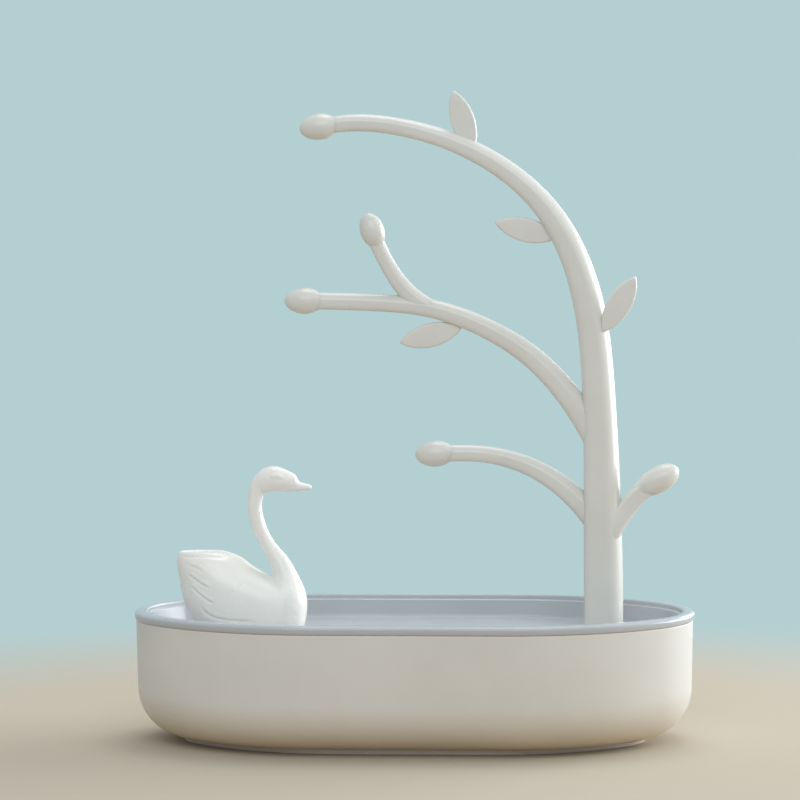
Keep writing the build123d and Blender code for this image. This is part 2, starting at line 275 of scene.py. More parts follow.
@dataclass
class Piece:
    """A mesh in the making: points in millimetres, and faces.

    Attributes:
        name: the name that the finished object gets.
        points: the mesh's points so far.
        faces: the mesh's faces so far, as indexes of points.
    """

    name: str
    points: list[np.ndarray] = field(default_factory=list)
    faces: list[list[int]] = field(default_factory=list)

    def add_rings(self, rings: np.ndarray, cap_end: bool = True, closed: bool = False) -> None:
        """Adds a skin over rings of points, with a face over the first ring.

        Args:
            rings: an array of rings by points by three.
            cap_end: closes the last ring with a face too.
            closed: joins the last ring to the first, with no face over either.
        """
        first = sum(len(part) for part in self.points)
        number, around = rings.shape[:2]
        self.points.append(rings.reshape(-1, 3))
        ring = first + np.arange(around)
        for row in range(number if closed else number - 1):
            here, there = ring + row * around, ring + (row + 1) % number * around
            sides = [here, np.roll(here, -1), np.roll(there, -1), there]
            self.faces += np.column_stack(sides).tolist()
        if not closed:
            self.faces.append(ring[::-1].tolist())
            if cap_end:
                self.faces.append((ring + (number - 1) * around).tolist())

    def make(self, crease: float = CREASE) -> bpy.types.Object:
        """Turns the mesh into an object of the scene, in metres.

        Args:
            crease: the angle in degrees above which an edge stays sharp.

        Returns:
            The new object.
        """
        mesh = bpy.data.meshes.new(self.name)
        mesh.from_pydata((np.concatenate(self.points) * MM).tolist(), [], self.faces)
        mesh.update()
        made = add_object(self.name, mesh)
        settle(made, crease)
        return made

    def place(
        self,
        finish: bpy.types.Material,
        body: Body,
        slot: Slot,
        replaces: Sequence[str],
        crease: float = CREASE,
    ) -> bpy.types.Object:
        """Makes an object that rides on its body.

        Args:
            finish: the object's material.
            body: the body that it rides on.
            slot: the record's slot that its finish comes from; not used.
            replaces: the CAD nodes that it stands for.
            crease: the angle in degrees above which an edge stays sharp.

        Returns:
            The new object.
        """
        made = self.make(crease)
        made.data.materials.append(finish)
        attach(made, body.value)
        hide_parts(*replaces)
        LOG.info("%s: %d faces on %s", made.name, len(made.data.polygons), body.value)
        return made

    def combine(self, made: bpy.types.Object, way: Merge) -> None:
        """Joins this closed form to an object, or cuts it out of it.

        Args:
            made: the object that changes.
            way: whether the form is joined or cut out.
        """
        tool = self.make()
        merge = made.modifiers.new("merge", "BOOLEAN")
        merge.operation = way.value
        merge.solver = "EXACT"
        # The joined form's own parts overlap
        merge.use_self = way is Merge.JOIN
        merge.object = tool
        apply_modifiers(made)
        bpy.data.objects.remove(tool)


def add_object(name: str, data: bpy.types.ID) -> bpy.types.Object:
    """Adds an object to the scene.

    Args:
        name: the object's name.
        data: its mesh, camera or light.

    Returns:
        The new object.
    """
    made = bpy.data.objects.new(name, data)
    bpy.context.scene.collection.objects.link(made)
    return made


def settle(made: bpy.types.Object, crease: float) -> None:
    """Turns an object's faces outwards and shades it smooth up to an angle.

    Args:
        made: the object.
        crease: the angle in degrees above which an edge stays sharp.
    """
    bpy.context.view_layer.objects.active = made
    made.select_set(True)
    bpy.ops.object.mode_set(mode="EDIT")
    bpy.ops.mesh.select_all(action="SELECT")
    bpy.ops.mesh.normals_make_consistent(inside=False)
    bpy.ops.object.mode_set(mode="OBJECT")
    bpy.ops.object.shade_smooth_by_angle(angle=math.radians(crease))
    made.select_set(False)


def apply_modifiers(made: bpy.types.Object) -> None:
    """Replaces an object's mesh by what its modifiers make of it.

    Args:
        made: the object.
    """
    graph = bpy.context.evaluated_depsgraph_get()
    solid = bpy.data.meshes.new_from_object(made.evaluated_get(graph))
    made.modifiers.clear()
    made.data = solid


def arc(centre: Station, radius: float, start: float, end: float, steps: int) -> list[Station]:
    """Points of an arc.

    Args:
        centre: the arc's centre, as two numbers.
        radius: its radius.
        start: the angle of its first point, in degrees.
        end: the angle of its last point, in degrees.
        steps: the spans between its points.

    Returns:
        The points, both ends among them.
    """
    turns = np.radians(np.linspace(start, end, steps + 1))
    return [(centre[0] + radius * math.cos(t), centre[1] + radius * math.sin(t)) for t in turns]


def full_turn(number: int) -> np.ndarray:
    """Returns the angles of a ring's points."""
    return np.linspace(0, 2 * math.pi, number, endpoint=False)


@dataclass(frozen=True)
class SoftOval:
    """Outline that the box and the tray share, seen from above.

    Attributes:
        length: its length along X.
        depth: its depth along Y.
        flat_side: the straight stretch of each long side.
        side_turn: the turn of each wide side arc, in degrees.
        steps: the spans of each arc.
    """

    length: float = 218.0
    depth: float = 112.0
    flat_side: float = 70.6
    side_turn: float = 45.0
    steps: int = 28

    def rings(self, profile: Sequence[Station]) -> np.ndarray:
        """Sweeps a profile round the outline.

        Args:
            profile: the inset and the height of each point.

        Returns:
            One ring for each point of the profile.
        """
        turn = math.radians(self.side_turn)
        flat = self.flat_side / 2
        spread = (self.length - self.depth - self.flat_side) / 2
        spread /= math.tan(turn) + 1 - 1 / math.cos(turn)
        end_centre = flat + spread * math.tan(turn)
        reach = self.depth / 2 + spread
        end_reach = reach - spread / math.cos(turn)
        rest = 90 - self.side_turn
        spots: list[Station] = []
        normals: list[Station] = []
        for x, y, radius, start, end in (
            (end_centre, 0.0, end_reach, 0.0, rest),
            (flat, -spread, reach, rest, 90.0),
            (-flat, -spread, reach, 90.0, 90.0 + self.side_turn),
            (-end_centre, 0.0, end_reach, 90.0 + self.side_turn, 180.0),
            (-end_centre, 0.0, end_reach, 180.0, 180.0 + rest),
            (-flat, spread, reach, 180.0 + rest, 270.0),
            (flat, spread, reach, 270.0, 270.0 + self.side_turn),
            (end_centre, 0.0, end_reach, 270.0 + self.side_turn, 360.0),
        ):
            for normal in arc((0.0, 0.0), 1.0, start, end, self.steps):
                spot = (x + radius * normal[0], y + radius * normal[1])
                # Two arcs share the point where they meet
                if all(math.dist(spot, other) > SAME_SPOT for other in spots[:1] + spots[-1:]):
                    spots.append(spot)
                    normals.append(normal)
        base, out = np.array(spots), np.array(normals)
        return np.array(
            [
                np.column_stack([base - out * inset, np.full(len(base), height)])
                for inset, height in profile
            ]
        )


OVAL = SoftOval()


@dataclass(frozen=True)
class Plug:
    """Upright plug of soft rectangular section, which a socket of the tray holds.

    Attributes:
        x: place of its middle.
        width: its width along X.
        depth: its depth along Y.
        corner: radius of its corners.
        length: how far it reaches below the top of the tray's floor.
    """

    x: float
    width: float
    depth: float
    corner: float
    length: float

    def rings(self, bottom: float, top: float, grow: float = 0.0) -> np.ndarray:
        """Rings of the plug, or of a larger bar around it.

        Args:
            bottom: height of its lower end.
            top: height of its upper end.
            grow: how much larger the bar is on each side.

        Returns:
            Two rings.
        """
        across, back = self.width / 2 - self.corner, self.depth / 2 - self.corner
        outline: list[Station] = []
        for quarter, (side, front) in enumerate(((1, 1), (-1, 1), (-1, -1), (1, -1))):
            centre, start = (self.x + side * across, front * back), quarter * 90
            outline += arc(centre, self.corner + grow, start, start + 90, steps=5)
        return np.array([[(*spot, height) for spot in outline] for height in (bottom, top)])


TREE_PLUG = Plug(74.2, 9.6, 8.0, 1.6, 22.0)
SWAN_PLUG = Plug(-63.0, 10.0, 6.0, 2.7, 8.0)


@dataclass
class StorageBox:
    """White oval box with a deep rounded bottom edge, and the soft ring under it.

    Attributes:
        top: height of the box's edge.
        bottom: height of its flat underside.
        wall: thickness of its wall.
        floor: thickness of its floor.
        draft: lean of the wall, in degrees.
        bottom_radius: radius of the bottom edge outside.
        lip_round: radius of the upper edge.
        wall_rows: where the wall has rows of points, as shares of the way down.
        ring_oval: outline of the soft ring, a little more pointed than the box.
        ring_rise: how far its outer edge rises to meet the rounded bottom edge.
        ring_width: width of the soft ring.
        ring_round: radius of the ring's lower edges.
    """

    top: float = SEAM
    bottom: float = 2.2
    wall: float = 2.4
    floor: float = 2.6
    draft: float = 1.2
    bottom_radius: float = 19.2
    lip_round: float = 0.5
    wall_rows: Station = (0.04, 0.35, 0.7)
    ring_oval: SoftOval = SoftOval(181.0, 75.4, 56.0)
    ring_rise: float = 0.2
    ring_width: float = 7.0
    ring_round: float = 0.8

    def wall_profile(self, inset: float, bottom: float, radius: float) -> list[Station]:
        """Profile of one side of the wall, from its top to its flat floor.

        Args:
            inset: inset of the wall at the top.
            bottom: height of the flat floor.
            radius: radius of the edge between wall and floor.

        Returns:
            The inset and the height of each point.
        """
        lean, turn = math.radians(self.draft), math.radians(90 - self.draft)
        corner_inset = inset + (self.top - bottom) * math.tan(lean)
        flat = corner_inset + radius * math.tan(turn / 2)
        rounded = arc((flat, bottom + radius), radius, 180 + self.draft, 270, steps=22)
        across, down = rounded[0][0] - inset, rounded[0][1] - self.top
        return [(inset + row * across, self.top + row * down) for row in self.wall_rows] + rounded

    def build(self, box_finish: bpy.types.Material, ring_finish: bpy.types.Material) -> None:
        """Makes the box and its foot ring.

        Args:
            box_finish: the box's material.
            ring_finish: the ring's material.
        """
        outer = self.wall_profile(0.0, self.bottom, self.bottom_radius)
        inner = self.wall_profile(
            self.wall, self.bottom + self.floor, self.bottom_radius - self.wall
        )
        soft = self.lip_round
        lip = arc((soft, self.top - soft), soft, 180, 90, steps=5)
        lip += arc((self.wall - soft, self.top - soft), soft, 90, 0, steps=5)
        shell = Piece("box_shell")
        shell.add_rings(OVAL.rings(outer[::-1] + lip + inner))
        shell.place(box_finish, Body.BOX, Slot.SATIN_WHITE, ["storage_box"])
        soft = self.ring_round
        tread = [(0.0, self.bottom + self.ring_rise)]
        tread += arc((soft, soft), soft, 180, 270, steps=6)
        tread += arc((self.ring_width - soft, soft), soft, 270, 360, steps=6)
        tread += [(self.ring_width, self.bottom)]
        ring = Piece("box_foot_ring")
        ring.add_rings(self.ring_oval.rings(tread), closed=True)
        ring.place(ring_finish, Body.BOX, Slot.SOFT_GREY, ["foot_ring"])


@dataclass
class LidTray:
    """Grey tray that closes the box: rim, ledge, recess, and sockets below.

    Attributes:
        seam: height of the box's edge, under the rim.
        rim_top: height of the rim.
        rim_overhang: how far the rim stands out over the box.
        rim_width: width of the rim's upper side.
        rim_nose: how far its rounded outer edge reaches across and down.
        rim_inner_round: radius of its inner edge.
        rim_under: how far the rim's lower half reaches back under its outer edge.
        ledge: height of the small ledge inside the rim.
        ledge_set: how far the ledge's edge stands off the recess wall.
        ledge_bevel: how far the bevel of the ledge's edge reaches across and down.
        corner_break: break of the corner between ledge and rim.
        floor_top: height of the tray's floor.
        floor_bottom: height of the floor's underside.
        pan_inset: inset of the pan inside the box.
        wall: thickness of the pan's wall.
        draft: lean of its wall outside, in degrees.
        recess_draft: lean of its wall inside, in degrees.
        floor_round: radius of the edge between wall and floor.
        under_break: radius of the pan's lower edge.
        plugs: the plugs that the tray's sockets hold.
        socket_wall: thickness of a socket's wall.
        socket_end: thickness of a socket's end.
        socket_gap: room below a plug.
        socket_fit: room beside a plug.
        socket_root: how far below the floor's top a socket's wall ends in the floor.
        rib_thickness: thickness of a socket's ribs.
        rib_reach: how far a rib reaches along the floor.
        rib_share: height of a rib as a share of the socket's.
    """

    seam: float = SEAM
    rim_top: float = 51.3
    rim_overhang: float = 0.6
    rim_width: float = 4.6
    rim_nose: Station = (2.0, 1.35)
    rim_inner_round: float = 0.7
    rim_under: float = 0.6
    ledge: float = 49.5
    ledge_set: float = 0.05
    ledge_bevel: Station = (0.6, 0.43)
    corner_break: float = 0.15
    floor_top: float = FLOOR_TOP
    floor_bottom: float = 39.8
    pan_inset: float = 2.8
    wall: float = 2.2
    draft: float = 2.0
    recess_draft: float = 6.0
    floor_round: float = 1.7
    under_break: float = 2.2
    plugs: tuple[Plug, ...] = (TREE_PLUG, SWAN_PLUG)
    socket_wall: float = 2.0
    socket_end: float = 1.6
    socket_gap: float = 0.6
    socket_fit: float = 0.08
    socket_root: float = 0.5
    rib_thickness: float = 1.6
    rib_reach: float = 9.0
    rib_share: float = 0.7

    def profile(self) -> list[Station]:
        """Profile of the tray, from the middle of its floor over the rim and below.

        Returns:
            The inset and the height of each point.
        """
        inner = self.pan_inset + self.wall
        throat, outer = self.rim_width - self.rim_overhang, -self.rim_overhang
        lean, recess_lean = (math.tan(math.radians(d)) for d in (self.draft, self.recess_draft))
        soft = self.floor_round
        foot = inner + (self.ledge - self.floor_top) * recess_lean + soft
        recess = arc((foot, self.floor_top + soft), soft, 270, 180 + self.recess_draft, steps=8)
        bevel_across, bevel_down = self.ledge_bevel
        edge = inner + self.ledge_set
        ledge = [
            (edge, self.ledge - bevel_down),
            (edge - bevel_across, self.ledge),
            (throat + self.corner_break, self.ledge),
            (throat, self.ledge + self.corner_break),
        ]
        soft = self.rim_inner_round
        lip = arc((throat - soft, self.rim_top - soft), soft, 0, 90, steps=5)
        nose_across, nose_down = self.rim_nose
        below = self.rim_top - nose_down - self.seam
        lip += [
            (outer + nose_across * (1 - x), self.rim_top - nose_down * (1 - y))
            for x, y in arc((0.0, 0.0), 1.0, 90, 0, steps=12)
        ]
        lip += [
            (outer + self.rim_under * (1 - x), self.seam + below * (1 - y))
            for x, y in arc((0.0, 0.0), 1.0, 0, 90, steps=8)[1:]
        ]
        soft = self.under_break
        low = self.pan_inset + (self.seam - self.floor_bottom) * lean + soft
        under = arc((low, self.floor_bottom + soft), soft, 180 + self.draft, 270, steps=5)
        return recess + ledge + lip + [(self.pan_inset, self.seam)] + under

    def build(self, finish: bpy.types.Material) -> None:
        """Makes the tray.

        Args:
            finish: the tray's material.
        """
        tray = Piece("grey_tray")
        tray.add_rings(OVAL.rings(self.profile()))
        made = tray.place(finish, Body.TRAY, Slot.GLOSS_GREY, ["lid_tray"])
        wall = self.socket_wall + self.socket_fit
        for plug in self.plugs:
            end = self.floor_top - plug.length - self.socket_gap
            low, high = end - self.socket_end, self.floor_top - self.socket_root
            boss = Piece("socket_boss")
            boss.add_rings(plug.rings(low, high, wall))
            drop = self.rib_share * (self.floor_bottom - low)
            for turn in (0.0, 90.0, 180.0, 270.0):
                boss.add_rings(self.rib_rings(plug.x, turn, plug.width / 2 + wall, drop))
            boss.combine(made, Merge.JOIN)
            hole = Piece("socket_hole")
            hole.add_rings(plug.rings(end, self.rim_top, self.socket_fit))
            hole.combine(made, Merge.CUT)
        settle(made, CREASE)

    def rib_rings(self, x: float, turn: float, reach: float, drop: float) -> np.ndarray:
        """Rings of one rib beside a socket.

        Args:
            x: place of the socket.
            turn: direction of the rib, in degrees.
            reach: distance of the socket's wall from its middle.
            drop: height of the rib at the socket.

        Returns:
            Two rings, one on each side of the rib.
        """
        root, end = reach - OVERLAP, reach + self.rib_reach
        outline = [
            (root, self.floor_top - OVERLAP),
            (end, self.floor_top - OVERLAP),
            (end, self.floor_bottom - OVERLAP),
            (reach, self.floor_bottom - drop),
            (root, self.floor_bottom - drop),
        ]
        half = self.rib_thickness / 2
        rings = [[(along, side, height) for along, height in outline] for side in (-half, half)]
        cos, sin = math.cos(math.radians(turn)), math.sin(math.radians(turn))
        turned = [(cos, sin, 0.0), (-sin, cos, 0.0), (0.0, 0.0, 1.0)]
        return np.array(rings) @ np.array(turned) + (x, 0.0, 0.0)


class CentreLine:
    """Smooth line through stations, in the plane Y = 0.

    The columns of a station are its run, its rise and its section's sizes, and the
    line carries all of them smoothly.
    """

    # Marks that the line is measured at, and the fewest spans of a sweep
    MARKS = 800
    FEWEST_SPANS = 6

    def __init__(
        self, stations: Sequence[Station], start: Station = (0.0, 0.0), upright: bool = False
    ) -> None:
        """Fits the line.

        Args:
            stations: run and rise from the start, then the sizes there.
            start: X and Z of the start.
            upright: makes the line leave its start straight up.
        """
        self.table = np.array(stations, float)
        self.table[:, :2] += start
        chords = np.linalg.norm(np.diff(self.table[:, :2], axis=0), axis=1)
        self.knots = np.concatenate(([0.0], np.cumsum(chords)))
        first = self.end_slope(slice(0, 4), 0)
        last = self.end_slope(slice(-4, None), -1)
        if upright:
            first[:2] = (0.0, math.hypot(first[0], first[1]))
            ahead = self.table[-1, :2] - self.table[-2, :2]
            last[:2] = ahead / np.linalg.norm(ahead) * math.hypot(last[0], last[1])
        self.slopes = self.smooth_slopes(first, last)
        self.marks = np.linspace(0.0, self.knots[-1], self.MARKS)
        self.spots = self.evenly(self.MARKS)[:, :2]
        steps = np.linalg.norm(np.diff(self.spots, axis=0), axis=1)
        self.lengths = np.concatenate(([0.0], np.cumsum(steps)))

    def end_slope(self, stretch: slice, end: int) -> np.ndarray:
        """Slope at an end, from a cubic through the four stations beside it.

        Args:
            stretch: the four stations.
            end: index of the end among all stations.

        Returns:
            The slope of each column.
        """
        marks = self.knots[stretch] - self.knots[end]
        return np.polyfit(marks, self.table[stretch], min(3, len(marks) - 1))[-2].copy()

    def smooth_slopes(self, first: np.ndarray, last: np.ndarray) -> np.ndarray:
        """Slopes that keep the bend smooth through every station.

        Args:
            first: slope at the start.
            last: slope at the end.

        Returns:
            The slope of each column at each station.
        """
        gaps = np.diff(self.knots)
        rates = np.diff(self.table, axis=0) / gaps[:, None]
        matrix = np.eye(len(self.knots))
        wanted = np.zeros_like(self.table)
        wanted[0], wanted[-1] = first, last
        for row in range(1, len(gaps)):
            before, after = gaps[row - 1], gaps[row]
            matrix[row, row - 1 : row + 2] = (after, 2 * (before + after), before)
            wanted[row] = 3 * (after * rates[row - 1] + before * rates[row])
        return np.linalg.solve(matrix, wanted)

    def at(self, mark: float, slope: bool = False) -> np.ndarray:
        """Values of all columns at a mark.

        Args:
            mark: place on the line, in chord lengths.
            slope: gives the slopes instead.

        Returns:
            X, Z and the sizes, or their slopes.
        """
        place = int(np.clip(np.searchsorted(self.knots, mark) - 1, 0, len(self.knots) - 2))
        gap = self.knots[place + 1] - self.knots[place]
        s = (mark - self.knots[place]) / gap
        low, high = self.table[place : place + 2]
        low_slope, high_slope = self.slopes[place : place + 2] * gap
        if slope:
            bent = (3 * s**2 - 4 * s + 1) * low_slope + (3 * s**2 - 2 * s) * high_slope
            return ((6 * s**2 - 6 * s) * (low - high) + bent) / gap
        bent = (s**3 - 2 * s**2 + s) * low_slope + (s**3 - s**2) * high_slope
        return (2 * s**3 - 3 * s**2 + 1) * low + (3 * s**2 - 2 * s**3) * high + bent

    def evenly(self, number: int) -> np.ndarray:
        """Returns all columns at marks spread evenly over the line."""
        return np.array([self.at(mark) for mark in np.linspace(0.0, self.knots[-1], number)])

    def spot_at(self, length: float) -> Station:
        """Returns X and Z at a length along the line."""
        return tuple(self.at(self.mark_at(length))[:2])

    def mark_at(self, length: float) -> float:
        """Returns the mark at a length along the line."""
        return float(np.interp(length, self.lengths, self.marks))

    def spot_at_height(self, height: float) -> Station:
        """Returns X and Z where a rising line first reaches a height."""
        return tuple(self.spots[int(np.argmax(self.spots[:, 1] >= height))])

    def frame_at(self, mark: float) -> tuple[np.ndarray, np.ndarray, np.ndarray, np.ndarray]:
        """Place and directions of a section.

        Args:
            mark: place on the line.

        Returns:
            The spot, the way forward, the way sideways in the plane, and all columns.
        """
        values = self.at(mark)
        ahead = self.at(mark, slope=True)[:2]
        run, rise = ahead / np.linalg.norm(ahead)
        spot, forward, sideways = (values[0], 0.0, values[1]), (run, 0.0, rise), (rise, 0.0, -run)
        return np.array(spot), np.array(forward), np.array(sideways), values

    def rings(
        self,
        outline: np.ndarray,
        spacing: float,
        end: float | None = None,
        start_outline: np.ndarray | None = None,
    ) -> np.ndarray:
        """Sweeps a unit outline along the line.

        Args:
            outline: sideways and depth of each point, for a size of one.
            spacing: distance between two rings.
            end: length along the line where the sweep ends, if before its own end.
            start_outline: outline at the start, which fades over half of the line.

        Returns:
            The rings.
        """
        total = self.lengths[-1] if end is None else end
        rings = []
        spans = max(self.FEWEST_SPANS, round(total / spacing))
        for length in np.linspace(0.0, total, spans + 1):
            shape = outline
            if start_outline is not None:
                shape = start_outline + min(1.0, 2 * length / total) * (outline - start_outline)
            spot, _, sideways, values = self.frame_at(self.mark_at(length))
            # Stations with a single size have a section as deep as it is wide
            width, depth = values[2], values[min(3, len(values) - 1)]
            rings.append(spot + shape[:, :1] * width * sideways + shape[:, 1:] * depth * ACROSS)
        return np.array(rings)


@dataclass(frozen=True)
class Section:
    """Section of a bough: flat at front and back, with a flank on each side.

    Each flank is a quarter of a superellipse. A power of two gives a round flank, less
    a flatter one with a soft ridge beside the face, and more a square one.

    Attributes:
        depth_share: depth against the width.
        flank_share: how much of the width the flank on the outer side takes.
        outer_power: power of the flank on the outer side.
        inner_power: power of the rest, on the inner side.
        ridge_share: how far each ridge is rounded, against the width.
        around: number of points.
    """

    depth_share: float = 0.88
    flank_share: float = 0.42
    outer_power: float = 1.55
    inner_power: float = 3.0
    ridge_share: float = 0.03
    around: int = 96

    def outline(self) -> np.ndarray:
        """Outline of the section for a width of one.

        Returns:
            Sideways and depth of its points.
        """
        ridge = 0.5 - self.flank_share
        outer = self.quarter(self.flank_share, self.outer_power)[::-1] + (ridge, 0.0)
        inner = self.quarter(-ridge - 0.5, self.inner_power)[1:] + (ridge, 0.0)
        half = np.vstack([outer, inner])
        whole = np.vstack([half, (half * (1, -1))[-2:0:-1]])
        loop = rounded_loop(whole, self.ridge_share, self.around)
        low, high = loop[:, 0].min(), loop[:, 0].max()
        loop[:, 0] = (loop[:, 0] - low) / (high - low) - 0.5
        return loop

    def quarter(self, reach: float, power: float) -> np.ndarray:
        """Quarter of a superellipse, from the face to the middle plane.

        Args:
            reach: how far it goes sideways, with its sign.
            power: its power.

        Returns:
            Sideways and depth of its points.
        """
        turns = np.linspace(0.0, math.pi / 2, num=160)
        sideways = reach * np.sin(turns) ** (2 / power)
        depth = self.depth_share / 2 * np.cos(turns) ** (2 / power)
        return np.column_stack([sideways, depth])


def rounded_loop(corners: np.ndarray, radius: float, number: int, between: int = 24) -> np.ndarray:
    """Evens out a closed line and rounds its corners.

    Args:
        corners: the line's points.
        radius: about how far a corner is rounded.
        number: how many points to return.
        between: steps of the even line from one of them to the next.

    Returns:
        The new points.
    """
    closed = np.vstack([corners, corners[:1]])
    lengths = np.concatenate(([0.0], np.cumsum(np.linalg.norm(np.diff(closed, axis=0), axis=1))))
    even = np.linspace(0.0, lengths[-1], number * between, endpoint=False)
    line = np.column_stack([np.interp(even, lengths, closed[:, axis]) for axis in (0, 1)])
    reach = max(1, round(radius / lengths[-1] * number * between))
    window = np.hanning(2 * reach + 3)[1:-1]
    window /= window.sum()
    shifts = zip(range(-reach, reach + 1), window)
    return sum(weight * np.roll(line, shift, axis=0) for shift, weight in shifts)[::between]


@dataclass(frozen=True)
class LeafPlace:
    """Where a leaf stands.

    Attributes:
        reach: length along the bough's line at its root.
        offset: how far the root stands off that line along X, Y and Z.
        direction: the way the blade points, in degrees.
    """

    reach: float
    offset: Station
    direction: float


@dataclass
class Tree:
    """White tree: trunk with the top bough, other boughs, buds and leaves.

    Attributes:
        spigot: the plug below the trunk's foot.
        foot: X and Z of the trunk's foot.
        trunk: stations of the trunk and the top bough.
        middle_height: height of the middle bough's root above the foot.
        middle: stations of the middle bough.
        fork_reach: length along the middle bough where the fork starts.
        fork: stations of the forked twig.
        lower_height: height of the lower bough's root above the foot.
        lower: stations of the lower bough.
        right_height: height of the right twig's root above the foot.
        right: stations of the right twig.
        ring_spacing: distance between two rings of a bough.
        section: section of every bough.
        trunk_section: section of the trunk at its foot.
        twig_section: section of the right twig, before it is turned over.
        bud: length and width of a bud.
        fork_bud: length and width of the forked twig's bud.
        bud_root: share of a bud's length that its bough's end covers.
        bud_skew: how much slimmer a bud is at its tip than at its root.
        stem_share: how much of the bough's width the fillet at a bud's root holds.
        fillet: power of that fillet.
        club_root: how much longer the root half of the right twig's bud is.
        fold: the angle in degrees above which a bough's edge stays sharp.
        leaf_length: length of a leaf.
        leaf_width: width of a leaf.
        leaf_thickness: thickness of a leaf.
        leaf_tip: how far a leaf's tips are rounded.
    """

    spigot: Plug = TREE_PLUG
    foot: Station = (TREE_PLUG.x, FLOOR_TOP)
    trunk: tuple[Station, ...] = (
        (0.0, 0.0, 15.1), (-0.4, 42.0, 14.9), (-2.0, 94.0, 12.8), (-7.5, 135.0, 11.6),
        (-22.6, 166.1, 9.4), (-50.0, 187.8, 7.8), (-78.5, 197.5, 6.9), (-101.5, 199.1, 6.7),
        (-111.0, 197.8, 6.5),
    )
    middle_height: float = 73.0
    middle: tuple[Station, ...] = (
        (0.0, 0.0, 10.6), (-14.4, 22.3, 9.4), (-27.0, 35.2, 8.7), (-44.3, 46.1, 7.8),
        (-65.5, 53.9, 7.2), (-88.5, 56.4, 6.8), (-107.0, 57.0, 6.7), (-116.0, 57.1, 6.5),
    )
    fork_reach: float = 84.0
    fork: tuple[Station, ...] = (
        (0.0, 0.0, 5.8), (-15.0, 9.2, 6.8), (-21.6, 19.0, 6.0), (-25.8, 27.8, 6.0),
        (-27.3, 31.8, 6.0),
    )
    lower_height: float = 39.5
    lower: tuple[Station, ...] = (
        (0.0, 0.0, 9.6), (-16.6, 18.7, 8.1), (-29.8, 26.4, 7.2), (-46.0, 30.6, 6.5),
        (-60.0, 31.0, 6.5), (-65.8, 30.8, 6.5),
    )
    right_height: float = 37.0
    right: tuple[Station, ...] = (
        (-2.2, -5.4, 5.0, 8.0), (1.6, 1.4, 8.4, 13.8), (7.6, 10.2, 8.0, 10.4),
        (17.2, 20.0, 6.6, 6.9), (22.8, 23.8, 6.5, 6.5),
    )
    ring_spacing: float = 1.2
    section: Section = Section()
    trunk_section: Section = Section(flank_share=0.36, outer_power=2.0, inner_power=7.0)
    twig_section: Section = Section(flank_share=0.2, outer_power=2.0, inner_power=5.0)
    bud: Station = (14.8, 10.2)
    fork_bud: Station = (13.6, 9.4)
    bud_root: float = 0.115
    bud_skew: float = 0.07
    stem_share: float = 0.44
    fillet: float = 4.0
    club_root: float = 1.45
    fold: float = 60.0
    leaf_length: float = 25.0
    leaf_width: float = 9.4
    leaf_thickness: float = 1.8
    leaf_tip: float = 1.4

    def build(self, finish: bpy.types.Material) -> None:
        """Makes all pieces of the tree.

        Args:
            finish: the tree's material.
        """
        plain = self.section.outline()
        flipped = (self.twig_section.outline() * (-1, 1))[::-1]
        trunk = CentreLine(self.trunk, self.foot, upright=True)
        middle, lower, right = (
            CentreLine(stations, trunk.spot_at_height(self.foot[1] + height))
            for stations, height in (
                (self.middle, self.middle_height),
                (self.lower, self.lower_height),
                (self.right, self.right_height),
            )
        )
        fork = CentreLine(self.fork, middle.spot_at(self.fork_reach))
        spigot = self.spigot.rings(self.foot[1] - self.spigot.length, self.foot[1] + OVERLAP)
        top_bough = self.bough(trunk, plain, self.bud, self.trunk_section.outline())
        forked = self.bough(middle, plain, self.bud) + self.bough(fork, plain, self.fork_bud)
        twig = self.bough(right, flipped, self.bud, root_stretch=self.club_root)
        for name, node, skins in (
            ("trunk_and_top_bough", "trunk", [spigot, *top_bough]),
            ("middle_bough_and_fork", "middle_bough", forked),
            ("lower_left_bough", "lower_bough", self.bough(lower, plain, self.bud)),
            ("short_right_twig", "right_twig", twig),
        ):
            piece = Piece(name)
            for skin in skins:
                piece.add_rings(skin)
            piece.place(finish, Body.TREE, Slot.GLOSS_WHITE, [node], self.fold)
        for node, line, place in (
            ("leaf_top", trunk, LeafPlace(205.5, (-0.9, 0.0, -0.02), 107.5)),
            ("leaf_inner", trunk, LeafPlace(159.5, (-1.5, 0.0, -2.7), 166.0)),
            ("leaf_outer", trunk, LeafPlace(118.0, (3.6, -4.0, 0.0), 59.5)),
            ("leaf_under", middle, LeafPlace(73.5, (-2.2, 0.0, -3.0), 193.5)),
        ):
            blade = Piece(f"{node}_blade")
            blade.add_rings(self.leaf_rings(line, place))
            blade.place(finish, Body.TREE, Slot.GLOSS_WHITE, [node])

    def bough(
        self,
        line: CentreLine,
        outline: np.ndarray,
        bud: Station,
        start_outline: np.ndarray | None = None,
        root_stretch: float = 1.0,
    ) -> list[np.ndarray]:
        """Rings of a bough, and of the bud that it ends in: an egg, filleted at its root.

        Args:
            line: the bough's line.
            outline: its section.
            bud: length and width of its bud.
            start_outline: its section at the start, where it differs.
            root_stretch: how much longer the egg's root half is.

        Returns:
            The bough's rings and the bud's.
        """
        end = line.lengths[-1] - bud[0] * (0.5 - self.bud_root)
        swept = line.rings(outline, self.ring_spacing, end, start_outline)
        spot, forward, sideways, values = line.frame_at(line.knots[-1])
        turns = full_turn(number=64)[:, None]
        round_way = np.cos(turns) * sideways + np.sin(turns) * ACROSS
        rings = []
        for angle in np.linspace(0.0, math.pi - NEAR_TIP, num=48):
            along = -math.cos(angle) * bud[0] / 2
            egg = math.sin(angle) * bud[1] / 2 * (1 + self.bud_skew * math.cos(angle))
            held = self.stem_share * values[2] * max(0.0, math.cos(angle)) ** 0.5
            radius = (egg**self.fillet + held**self.fillet) ** (1 / self.fillet)
            along *= root_stretch if along < 0 else 1.0
            rings.append(spot + forward * along + radius * round_way)
        return [swept, np.array(rings)]

